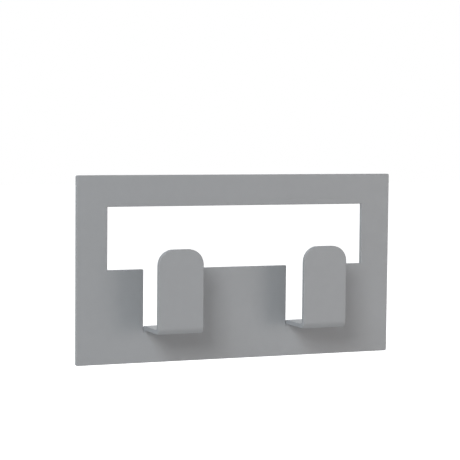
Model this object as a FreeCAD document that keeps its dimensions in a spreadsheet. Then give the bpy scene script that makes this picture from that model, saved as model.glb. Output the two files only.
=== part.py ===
import FreeCAD, Part
import math
import os
import Sketcher

# Double towel hook, folded from one sheet of steel.
# A wide window is cut out of a flat plate, and two strips of that same sheet stay joined to it
# at the foot of their slots. Each strip is folded forward into a short shelf and then up into
# a flat tongue with a round tip.
# Frame: +Z up, +X along the plate, and the hooks stand out towards -Y. The origin is on the
# flat back of the plate, on the centre line, half-way up the solid band under the window.

DRIVING_SIZES = [
    ("plate_width", 110.0, "whole width of the plate"),
    ("plate_height", 60.0, "whole height of the plate"),
    ("sheet", 1.5, "thickness of the coated sheet"),
    ("side_rail", 10.2, "rails left and right of the window"),
    ("top_rail", 10.0, "rail above the window"),
    ("band_height", 30.0, "solid band under the window"),
    ("hook_spacing", 50.0, "distance between the middles of the two hooks"),
    ("hook_width", 15.2, "width of each strip"),
    ("hook_depth", 15.0, "back of the plate to the front of the tongue"),
    ("shelf_rise", 12.0, "foot of the plate to the top of the shelf"),
    ("tongue_rise", 25.2, "top of the shelf to the tip of the tongue"),
    ("bend_radius", 0.5, "inside radius of both folds"),
    ("tip_radius", 5.0, "round corners of the tongue's tip"),
    ("kerf", 0.1, "gap that the cut leaves on each side of a strip"),
    ("relief", 0.2, "how far that cut runs on below the fold"),
    ("corner_radius", 0.5, "outer corners of the plate"),
    ("edge_round", 0.25, "softened cut edges under the coating"),
]

# Point positions on a sketch line or arc, then the sketch's own axes. The level axis starts at
# the sketch's origin.
START, END, CENTRE = range(1, 4)
LEVEL_AXIS, UPRIGHT_AXIS = range(-1, -3, -1)
ORIGIN = (LEVEL_AXIS, START)

# Two places closer than this, in millimetres, are the same place.
SAME_PLACE = 1e-4

# Faces whose normals agree this well run smoothly into each other.
SMOOTH_JOIN = 0.9

# How far from an edge, in millimetres, the steel is looked for.
PROBE = 0.05

doc = FreeCAD.newDocument("double_towel_hook")


def make_size_sheet():
    """One row for each driving size: its name, its value under an alias, and what it measures."""
    sheet = doc.addObject("Spreadsheet::Sheet", "sizes")
    for row, (alias, value, meaning) in enumerate(DRIVING_SIZES, start=1):
        sheet.set(f"A{row}", alias)
        sheet.set(f"B{row}", str(value))
        sheet.setAlias(f"B{row}", alias)
        sheet.set(f"C{row}", meaning)
    doc.recompute()
    return sheet


def origin_plane(body, role):
    """The body's own origin plane with this role."""
    return next(plane for plane in body.Origin.OriginFeatures if plane.Role == role)


def new_sketch(body, name, role):
    """An empty sketch that lies flat on one of the body's origin planes."""
    sketch = body.newObject("Sketcher::SketchObject", name)
    sketch.AttachmentSupport = [(origin_plane(body, role), "")]
    sketch.MapMode = "FlatFace"
    return sketch


def add_outline(sketch, corners):
    """A closed chain of straight lines through the corners, joined end to end."""
    points = [FreeCAD.Vector(across, up, 0) for across, up in corners]
    following = points[1:] + points[:1]
    for near, far in zip(points, following):
        sketch.addGeometry(Part.LineSegment(near, far), False)
    for line in range(len(points)):
        joined = (line + 1) % len(points)
        sketch.addConstraint(Sketcher.Constraint("Coincident", line, END, joined, START))


def square_up(sketch, level, upright):
    """Keeps one set of lines level and the other upright."""
    for line in level:
        sketch.addConstraint(Sketcher.Constraint("Horizontal", line))
    for line in upright:
        sketch.addConstraint(Sketcher.Constraint("Vertical", line))


def dimension(sketch, name, expression, kind, *where):
    """Adds a named dimension, starting at its present value, and ties it to the size sheet."""
    value = sketch.evalExpression(expression)
    index = sketch.addConstraint(Sketcher.Constraint(kind, *where, float(value)))
    sketch.renameConstraint(index, name)
    sketch.setExpression(f"Constraints.{name}", expression)


def draw_plate_outline(body, size):
    """The plate's outer rectangle, seen from the front."""
    sketch = new_sketch(body, "plate_outline", "XZ_Plane")
    half_width = size.plate_width / 2
    foot = -size.band_height / 2
    head = foot + size.plate_height
    add_outline(sketch, [
        (-half_width, foot),
        (half_width, foot),
        (half_width, head),
        (-half_width, head),
    ])
    bottom, right, top, left = range(4)
    square_up(sketch, [bottom, top], [right, left])
    dimension(sketch, "width", "sizes.plate_width", "DistanceX", bottom, START, bottom, END)
    dimension(sketch, "half_width", "sizes.plate_width / 2", "DistanceX", bottom, START, *ORIGIN)
    dimension(sketch, "foot", "sizes.band_height / 2", "DistanceY", bottom, START, *ORIGIN)
    dimension(sketch, "height", "sizes.plate_height", "DistanceY", right, START, right, END)
    return sketch


def draw_window_outline(body, size):
    """The single path of the cut: the window with a slot below it for each strip."""
    sketch = new_sketch(body, "window_outline", "XZ_Plane")
    side = size.plate_width / 2 - size.side_rail
    sill = size.band_height / 2
    top = sill + size.plate_height - size.band_height - size.top_rail
    floor = slot_floor(size)
    inner = (size.hook_spacing - size.hook_width) / 2 - size.kerf
    outer = (size.hook_spacing + size.hook_width) / 2 + size.kerf
    add_outline(sketch, [
        (-side, sill),
        (-outer, sill),
        (-outer, floor),
        (-inner, floor),
        (-inner, sill),
        (inner, sill),
        (inner, floor),
        (outer, floor),
        (outer, sill),
        (side, sill),
        (side, top),
        (-side, top),
    ])
    (left_sill, left_outer, left_floor, left_inner, middle_sill, right_inner,
     right_floor, right_outer, right_sill, right_side, window_top, left_side) = range(12)
    square_up(
        sketch,
        [left_sill, left_floor, middle_sill, right_floor, right_sill, window_top],
        [left_outer, left_inner, right_inner, right_outer, right_side, left_side],
    )
    sketch.addConstraint(Sketcher.Constraint("Horizontal", left_sill, START, middle_sill, START))
    sketch.addConstraint(Sketcher.Constraint("Horizontal", left_sill, START, right_sill, START))
    sketch.addConstraint(Sketcher.Constraint("Equal", left_outer, right_outer))
    dimension(sketch, "sill", "sizes.band_height / 2", "DistanceY", *ORIGIN, left_sill, START)
    dimension(sketch, "window_width", "sizes.plate_width - 2 * sizes.side_rail",
              "DistanceX", left_side, END, right_side, START)
    dimension(sketch, "half_window", "sizes.plate_width / 2 - sizes.side_rail",
              "DistanceX", left_side, END, *ORIGIN)
    dimension(sketch, "window_height",
              "sizes.plate_height - sizes.band_height - sizes.top_rail",
              "DistanceY", right_side, START, right_side, END)
    dimension(sketch, "slot_depth",
              "sizes.band_height - sizes.shelf_rise + sizes.sheet + sizes.bend_radius"
              " + sizes.relief",
              "DistanceY", left_outer, END, left_outer, START)
    slot_width = "sizes.hook_width + 2 * sizes.kerf"
    slot_offset = "(sizes.hook_spacing - sizes.hook_width) / 2 - sizes.kerf"
    dimension(sketch, "left_slot_width", slot_width,
              "DistanceX", left_floor, START, left_floor, END)
    dimension(sketch, "right_slot_width", slot_width,
              "DistanceX", right_floor, START, right_floor, END)
    dimension(sketch, "left_slot_offset", slot_offset, "DistanceX", left_inner, END, *ORIGIN)
    dimension(sketch, "right_slot_offset", slot_offset, "DistanceX", *ORIGIN, right_inner, START)
    return sketch


def slot_floor(size):
    """Height of the slots' floor, below the fold by the relief."""
    shelf_top = size.shelf_rise - size.band_height / 2
    return shelf_top - size.sheet - size.bend_radius - size.relief


def draw_hook_profile(body, size):
    """The strip seen from its side: up the slot, forward as the shelf, up as the tongue."""
    sketch = new_sketch(body, "hook_profile", "YZ_Plane")
    outside = size.bend_radius + size.sheet
    shelf_top = size.shelf_rise - size.band_height / 2
    shelf_under = shelf_top - size.sheet
    tip = shelf_top + size.tongue_rise
    back_fold = (-outside, shelf_top - outside)
    front_fold = (outside - size.hook_depth, shelf_top + size.bend_radius)
    tongue_back = size.sheet - size.hook_depth

    def vector(point):
        return FreeCAD.Vector(point[0], point[1], 0)

    def add_line(near, far):
        return sketch.addGeometry(Part.LineSegment(vector(near), vector(far)), False)

    def add_quarter(centre, radius, first_quarter):
        circle = Part.Circle(vector(centre), FreeCAD.Vector(0, 0, 1), radius)
        first = first_quarter * math.pi / 2
        return sketch.addGeometry(Part.ArcOfCircle(circle, first, first + math.pi / 2), False)

    root_back = add_line((0, slot_floor(size)), (0, back_fold[1]))
    back_outside = add_quarter(back_fold, outside, 0)
    shelf_upper = add_line((back_fold[0], shelf_top), (front_fold[0], shelf_top))
    front_inside = add_quarter(front_fold, size.bend_radius, 2)
    tongue_rear = add_line((tongue_back, front_fold[1]), (tongue_back, tip))
    tongue_tip = add_line((tongue_back, tip), (-size.hook_depth, tip))
    tongue_front = add_line((-size.hook_depth, tip), (-size.hook_depth, front_fold[1]))
    front_outside = add_quarter(front_fold, outside, 2)
    shelf_lower = add_line((front_fold[0], shelf_under), (back_fold[0], shelf_under))
    back_inside = add_quarter(back_fold, size.bend_radius, 0)
    root_front = add_line((-size.sheet, back_fold[1]), (-size.sheet, slot_floor(size)))
    root = add_line((-size.sheet, slot_floor(size)), (0, slot_floor(size)))
    foot = sketch.addGeometry(Part.Point(FreeCAD.Vector(0, -size.band_height / 2, 0)), True)

    smooth_joins = [
        (root_back, END, back_outside, START),
        (back_outside, END, shelf_upper, START),
        (shelf_upper, END, front_inside, END),
        (front_inside, START, tongue_rear, START),
        (tongue_front, END, front_outside, START),
        (front_outside, END, shelf_lower, START),
        (shelf_lower, END, back_inside, END),
        (back_inside, START, root_front, START),
    ]
    sharp_joins = [
        (tongue_rear, END, tongue_tip, START),
        (tongue_tip, END, tongue_front, START),
        (root_front, END, root, START),
        (root, END, root_back, START),
        (back_outside, CENTRE, back_inside, CENTRE),
        (front_outside, CENTRE, front_inside, CENTRE),
    ]
    for join in smooth_joins:
        sketch.addConstraint(Sketcher.Constraint("Tangent", *join))
    for join in sharp_joins:
        sketch.addConstraint(Sketcher.Constraint("Coincident", *join))
    square_up(
        sketch,
        [shelf_upper, tongue_tip, shelf_lower, root],
        [root_back, tongue_rear, tongue_front, root_front],
    )
    sketch.addConstraint(Sketcher.Constraint("PointOnObject", root_back, START, UPRIGHT_AXIS))
    sketch.addConstraint(Sketcher.Constraint("PointOnObject", foot, START, UPRIGHT_AXIS))
    dimension(sketch, "foot", "sizes.band_height / 2", "DistanceY", foot, START, *ORIGIN)
    dimension(sketch, "shelf_rise", "sizes.shelf_rise", "DistanceY", foot, START,
              shelf_upper, START)
    dimension(sketch, "relief", "sizes.relief", "DistanceY", root_back, START, root_back, END)
    dimension(sketch, "sheet", "sizes.sheet", "DistanceX", root, START, root, END)
    dimension(sketch, "back_bend", "sizes.bend_radius", "Radius", back_inside)
    dimension(sketch, "front_bend", "sizes.bend_radius", "Radius", front_inside)
    dimension(sketch, "hook_depth", "sizes.hook_depth", "DistanceX", tongue_front, START, *ORIGIN)
    dimension(sketch, "tongue_rise", "sizes.tongue_rise", "DistanceY", shelf_upper, START,
              tongue_rear, END)
    sketch.setExpression("AttachmentOffset.Base.z", "sizes.hook_spacing / 2")
    return sketch


def edge_names(feature, wanted):
    """The names of the feature's edges that the test picks out."""
    edges = feature.Shape.Edges
    return [f"Edge{number}" for number, edge in enumerate(edges, start=1) if wanted(edge)]


def runs_front_to_back(edge):
    """True for a straight edge that goes through the sheet from front to back."""
    near, far = edge.Vertexes[0].Point, edge.Vertexes[-1].Point
    return (abs(near.x - far.x) < SAME_PLACE and abs(near.z - far.z) < SAME_PLACE
            and abs(near.y - far.y) > SAME_PLACE)


def level_is(edge, height):
    """True where the whole edge lies at this height."""
    return all(abs(vertex.Point.z - height) < SAME_PLACE for vertex in edge.Vertexes)


def is_sharp_outside(shape, edge):
    """True where two faces meet at this edge at a sharp angle with the steel inside it."""
    faces = shape.ancestorsOfType(edge, Part.Face)
    if len(faces) != 2:
        return False
    middle = edge.valueAt((edge.FirstParameter + edge.LastParameter) / 2)
    first, second = (face.normalAt(*face.Surface.parameter(middle)) for face in faces)
    if first.dot(second) > SMOOTH_JOIN:
        return False
    beside = middle + second * PROBE - first * PROBE / 2
    return not shape.isInside(beside, SAME_PLACE, False)


def check_cut(before, after, area, thickness):
    """Stops if the cut did not take out what its outline and the sheet's thickness say."""
    removed = before.Shape.Volume - after.Shape.Volume
    if abs(removed - area * thickness) > SAME_PLACE * area:
        raise RuntimeError(f"{after.Name} removed {removed:.3f} instead of {area * thickness:.3f}")


def make_hook_plate(size):
    """The whole hook as one body: plate, cut-outs, two folded strips, rounded corners."""
    body = doc.addObject("PartDesign::Body", "hook_plate")
    body.Label = "hook_plate"

    plate = body.newObject("PartDesign::Pad", "plate")
    plate.Profile = draw_plate_outline(body, size)
    plate.setExpression("Length", "sizes.sheet")
    doc.recompute()

    window = body.newObject("PartDesign::Pocket", "window")
    window.Profile = draw_window_outline(body, size)
    window.setExpression("Length", "sizes.sheet")
    window.Reversed = True
    doc.recompute()
    check_cut(plate, window, Part.Face(window.Profile[0].Shape).Area, size.sheet)

    hook = body.newObject("PartDesign::Pad", "hook")
    hook.Profile = draw_hook_profile(body, size)
    hook.SideType = "Symmetric"
    hook.setExpression("Length", "sizes.hook_width")
    doc.recompute()

    pair = body.newObject("PartDesign::Mirrored", "hook_pair")
    pair.Originals = [hook]
    pair.MirrorPlane = (origin_plane(body, "YZ_Plane"), [""])
    body.Tip = pair
    doc.recompute()

    foot = -size.band_height / 2
    head = foot + size.plate_height
    tip = foot + size.shelf_rise + size.tongue_rise

    def is_tongue_corner(edge):
        return runs_front_to_back(edge) and level_is(edge, tip)

    def is_plate_corner(edge):
        return runs_front_to_back(edge) and (level_is(edge, foot) or level_is(edge, head))

    tongue_corners = body.newObject("PartDesign::Fillet", "tongue_corners")
    tongue_corners.Base = (pair, edge_names(pair, is_tongue_corner))
    tongue_corners.setExpression("Radius", "sizes.tip_radius")
    doc.recompute()

    plate_corners = body.newObject("PartDesign::Fillet", "plate_corners")
    plate_corners.Base = (tongue_corners, edge_names(tongue_corners, is_plate_corner))
    plate_corners.setExpression("Radius", "sizes.corner_radius")
    doc.recompute()

    floor = slot_floor(size)

    def is_cut_edge(edge):
        return not level_is(edge, floor) and is_sharp_outside(plate_corners.Shape, edge)

    cut_edges = body.newObject("PartDesign::Fillet", "cut_edges")
    cut_edges.Base = (plate_corners, edge_names(plate_corners, is_cut_edge))
    cut_edges.setExpression("Radius", "sizes.edge_round")
    body.Tip = cut_edges
    doc.recompute()
    return body


def check_document():
    """Stops if any object of the document failed to build."""
    for item in doc.Objects:
        if "Invalid" in item.State or "Error" in item.State:
            raise RuntimeError(f"{item.Name} failed: {item.State}")


def export_parts(bodies):
    """Writes each body's solid to its own file, named by its label."""
    os.makedirs("parts", exist_ok=True)
    for body in bodies:
        if body.Shape.isNull() or not body.Shape.isValid():
            raise RuntimeError(f"{body.Label} has no valid shape")
        body.Shape.exportStep(f"parts/{body.Label}.step")


hook_plate = make_hook_plate(make_size_sheet())
check_document()
export_parts([hook_plate])
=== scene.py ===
import math

import bpy
from mathutils import Matrix, Vector


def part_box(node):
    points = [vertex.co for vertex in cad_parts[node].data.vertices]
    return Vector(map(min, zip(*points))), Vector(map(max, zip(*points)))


# The double towel hook, hanging free above a white studio floor.
# Distances are in metres, angles in degrees and lamp powers in watts. An azimuth is counted from
# straight in front of the plate, positive towards its right; an elevation from the level.

# Camera: the photograph's view, from the left of the plate and a little above its middle.
IMAGE_SIDE_PX = 460
FOCAL_LENGTH_PX = 1662.70
SENSOR_WIDTH_MM = 36.0
AIM_POINT = Vector((-0.002376, 0.0, 0.026905))
CAMERA_DISTANCE = 0.541186
CAMERA_AZIMUTH = -22.823
CAMERA_ELEVATION = 3.914
CAMERA_ROLL = 0.548

# Softboxes: two on the left, one above the other, a small fill close on the right, and a large
# one high behind the plate, which lights the shelves through the slots. The high one is a little
# cool and the fill a little warm, so the shade beside the slots is faintly blue and the shade
# under the hooks isn't. Together they are neutral on the plate.
# Each row: name, azimuth, elevation, distance, side of the square, power, colour.
LAMP_TARGET = Vector((0.0, 0.0, 0.015))
SOFTBOXES = [
    ("key", -40.0, 26.0, 1.5, 0.5, 9.5, (0.98, 1.0, 1.0)),
    ("high", -60.0, 50.0, 1.5, 0.5, 9.0, (0.85, 0.935, 1.0)),
    ("fill", 35.0, 0.0, 0.5, 0.2, 0.45, (1.0, 0.893, 0.83)),
    ("back", 180.0, 40.0, 1.5, 1.0, 6.0, (1.0, 1.0, 1.0)),
]

# World: its strength as faint light from all round, and as the white that is seen.
AMBIENT = 0.08
BACKGROUND = 1.0
WHITE = (1.0, 1.0, 1.0, 1.0)

# Floor: far enough below the plate that its shadow lies outside the photograph's frame.
# Around the foot of the object only part of its white is light of its own, so a shadow shows.
FLOOR_DROP = 0.12
FLOOR_HALF_SIDE = 4.0
FLOOR_GREY = 0.8
LIFT_NEAR = 0.42
LIFT_FAR = 1.0
LIFT_NEAR_RADIUS = 0.20
LIFT_FAR_RADIUS = 0.42

# Coating: a matt mid grey with a trace of blue. The darker and lighter greys are the ends of its
# faint mottle; the skin is the fine orange peel that baked powder leaves.
COATING_DARKER = (0.307, 0.313, 0.323, 1.0)
COATING_LIGHTER = (0.323, 0.328, 0.338, 1.0)
MOTTLE_PER_METRE = 420.0
MOTTLE_DETAIL = 5.0
SKIN_PER_METRE = 1500.0
SKIN_DEPTH = 0.00002
SKIN_STRENGTH = 0.4
ROUGHNESS_LOW = 0.50
ROUGHNESS_HIGH = 0.60


def direction(azimuth, elevation):
    """The unit vector from the object towards a place at this azimuth and elevation."""
    across = math.radians(azimuth)
    above = math.radians(elevation)
    return Vector((
        math.sin(across) * math.cos(above),
        -math.cos(across) * math.cos(above),
        math.sin(above),
    ))


def make_camera():
    """A camera with the photograph's position, direction, tilt and field of view."""
    azimuth = math.radians(CAMERA_AZIMUTH)
    roll = math.radians(CAMERA_ROLL)
    back = direction(CAMERA_AZIMUTH, CAMERA_ELEVATION)
    level_right = Vector((math.cos(azimuth), math.sin(azimuth), 0.0))
    level_up = back.cross(level_right)
    right = level_right * math.cos(roll) + level_up * math.sin(roll)
    up = level_up * math.cos(roll) - level_right * math.sin(roll)
    data = bpy.data.cameras.new("camera")
    data.sensor_width = SENSOR_WIDTH_MM
    data.lens = FOCAL_LENGTH_PX / IMAGE_SIDE_PX * SENSOR_WIDTH_MM
    camera = bpy.data.objects.new("camera", data)
    turn = Matrix((right, up, back)).transposed().to_4x4()
    camera.matrix_world = Matrix.Translation(AIM_POINT + back * CAMERA_DISTANCE) @ turn
    bpy.context.scene.collection.objects.link(camera)
    bpy.context.scene.camera = camera


def add_softbox(name, azimuth, elevation, distance, side, power, colour):
    """A square area lamp that faces the object and isn't seen by the camera itself."""
    data = bpy.data.lights.new(name, "AREA")
    data.shape = "SQUARE"
    data.size = side
    data.energy = power
    data.color = colour
    lamp = bpy.data.objects.new(name, data)
    outward = direction(azimuth, elevation)
    lamp.rotation_mode = "QUATERNION"
    lamp.rotation_quaternion = outward.to_track_quat("Z", "Y")
    lamp.location = LAMP_TARGET + outward * distance
    lamp.visible_camera = False
    bpy.context.scene.collection.objects.link(lamp)


def seen_directly(tree):
    """A socket that is 1 for camera, glossy and transmission rays and 0 for all others."""
    path = tree.nodes.new("ShaderNodeLightPath")
    either = tree.nodes.new("ShaderNodeMath")
    either.operation = "MAXIMUM"
    tree.links.new(path.outputs["Is Camera Ray"], either.inputs[0])
    tree.links.new(path.outputs["Is Glossy Ray"], either.inputs[1])
    any_of_three = tree.nodes.new("ShaderNodeMath")
    any_of_three.operation = "MAXIMUM"
    tree.links.new(either.outputs["Value"], any_of_three.inputs[0])
    tree.links.new(path.outputs["Is Transmission Ray"], any_of_three.inputs[1])
    return any_of_three.outputs["Value"]


def add_world():
    """An even sky as faint light from all round, seen as white."""
    world = bpy.data.worlds.new("studio")
    bpy.context.scene.world = world
    world.use_nodes = True
    tree = world.node_tree
    tree.nodes.clear()
    strength = tree.nodes.new("ShaderNodeMapRange")
    strength.inputs["To Min"].default_value = AMBIENT
    strength.inputs["To Max"].default_value = BACKGROUND
    sky = tree.nodes.new("ShaderNodeBackground")
    sky.inputs["Color"].default_value = WHITE
    output = tree.nodes.new("ShaderNodeOutputWorld")
    tree.links.new(seen_directly(tree), strength.inputs["Value"])
    tree.links.new(strength.outputs["Result"], sky.inputs["Strength"])
    tree.links.new(sky.outputs["Background"], output.inputs["Surface"])


def make_floor_material():
    """Pale matt floor that looks white, and keeps a soft shadow close to the object."""
    material = bpy.data.materials.new("floor_white")
    material.use_nodes = True
    tree = material.node_tree
    tree.nodes.clear()
    coordinates = tree.nodes.new("ShaderNodeTexCoord")
    radius = tree.nodes.new("ShaderNodeVectorMath")
    radius.operation = "LENGTH"
    lift = tree.nodes.new("ShaderNodeMapRange")
    lift.interpolation_type = "SMOOTHSTEP"
    lift.inputs["From Min"].default_value = LIFT_NEAR_RADIUS
    lift.inputs["From Max"].default_value = LIFT_FAR_RADIUS
    lift.inputs["To Min"].default_value = LIFT_NEAR
    lift.inputs["To Max"].default_value = LIFT_FAR
    lift_seen = tree.nodes.new("ShaderNodeMath")
    lift_seen.operation = "MULTIPLY"
    glow = tree.nodes.new("ShaderNodeEmission")
    diffuse = tree.nodes.new("ShaderNodeBsdfDiffuse")
    diffuse.inputs["Color"].default_value = (FLOOR_GREY, FLOOR_GREY, FLOOR_GREY, 1.0)
    both = tree.nodes.new("ShaderNodeAddShader")
    output = tree.nodes.new("ShaderNodeOutputMaterial")
    tree.links.new(coordinates.outputs["Object"], radius.inputs[0])
    tree.links.new(radius.outputs["Value"], lift.inputs["Value"])
    tree.links.new(lift.outputs["Result"], lift_seen.inputs[0])
    tree.links.new(seen_directly(tree), lift_seen.inputs[1])
    tree.links.new(lift_seen.outputs["Value"], glow.inputs["Strength"])
    tree.links.new(glow.outputs["Emission"], both.inputs[0])
    tree.links.new(diffuse.outputs["BSDF"], both.inputs[1])
    tree.links.new(both.outputs["Shader"], output.inputs["Surface"])
    return material


def make_floor():
    """A pale floor below the object."""
    bpy.ops.mesh.primitive_plane_add(size=2 * FLOOR_HALF_SIDE)
    floor = bpy.context.object
    floor.name = "floor"
    floor.location = (0.0, 0.0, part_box("hook_plate")[0].z - FLOOR_DROP)
    floor.data.materials.append(make_floor_material())


def make_coating(name):
    """Matt grey powder coating: a faint mottle, and a skin of fine orange peel."""
    material = bpy.data.materials.new(name)
    material.use_nodes = True
    tree = material.node_tree
    shader = tree.nodes["Principled BSDF"]
    coordinates = tree.nodes.new("ShaderNodeTexCoord")

    mottle = tree.nodes.new("ShaderNodeTexNoise")
    mottle.inputs["Scale"].default_value = MOTTLE_PER_METRE
    mottle.inputs["Detail"].default_value = MOTTLE_DETAIL
    shade = tree.nodes.new("ShaderNodeValToRGB")
    shade.color_ramp.elements[0].color = COATING_DARKER
    shade.color_ramp.elements[1].color = COATING_LIGHTER
    tree.links.new(coordinates.outputs["Object"], mottle.inputs["Vector"])
    tree.links.new(mottle.outputs["Fac"], shade.inputs["Fac"])
    tree.links.new(shade.outputs["Color"], shader.inputs["Base Color"])

    skin = tree.nodes.new("ShaderNodeTexNoise")
    skin.inputs["Scale"].default_value = SKIN_PER_METRE
    bump = tree.nodes.new("ShaderNodeBump")
    bump.inputs["Strength"].default_value = SKIN_STRENGTH
    bump.inputs["Distance"].default_value = SKIN_DEPTH
    tree.links.new(coordinates.outputs["Object"], skin.inputs["Vector"])
    tree.links.new(skin.outputs["Fac"], bump.inputs["Height"])
    tree.links.new(bump.outputs["Normal"], shader.inputs["Normal"])

    roughness = tree.nodes.new("ShaderNodeMapRange")
    roughness.inputs["To Min"].default_value = ROUGHNESS_LOW
    roughness.inputs["To Max"].default_value = ROUGHNESS_HIGH
    tree.links.new(skin.outputs["Fac"], roughness.inputs["Value"])
    tree.links.new(roughness.outputs["Result"], shader.inputs["Roughness"])
    return material


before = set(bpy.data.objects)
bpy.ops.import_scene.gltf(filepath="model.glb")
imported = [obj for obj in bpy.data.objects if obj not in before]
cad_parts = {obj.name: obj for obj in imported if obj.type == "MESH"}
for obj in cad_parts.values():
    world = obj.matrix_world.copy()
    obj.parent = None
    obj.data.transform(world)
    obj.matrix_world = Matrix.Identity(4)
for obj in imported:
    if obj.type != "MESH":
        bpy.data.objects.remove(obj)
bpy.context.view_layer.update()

make_camera()
add_world()
for softbox in SOFTBOXES:
    add_softbox(*softbox)
make_floor()

hook_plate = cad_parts["hook_plate"]
grey_coating = make_coating("grey_coating")
for slot in hook_plate.material_slots:
    slot.material = grey_coating

bpy.context.scene.view_settings.view_transform = "Standard"
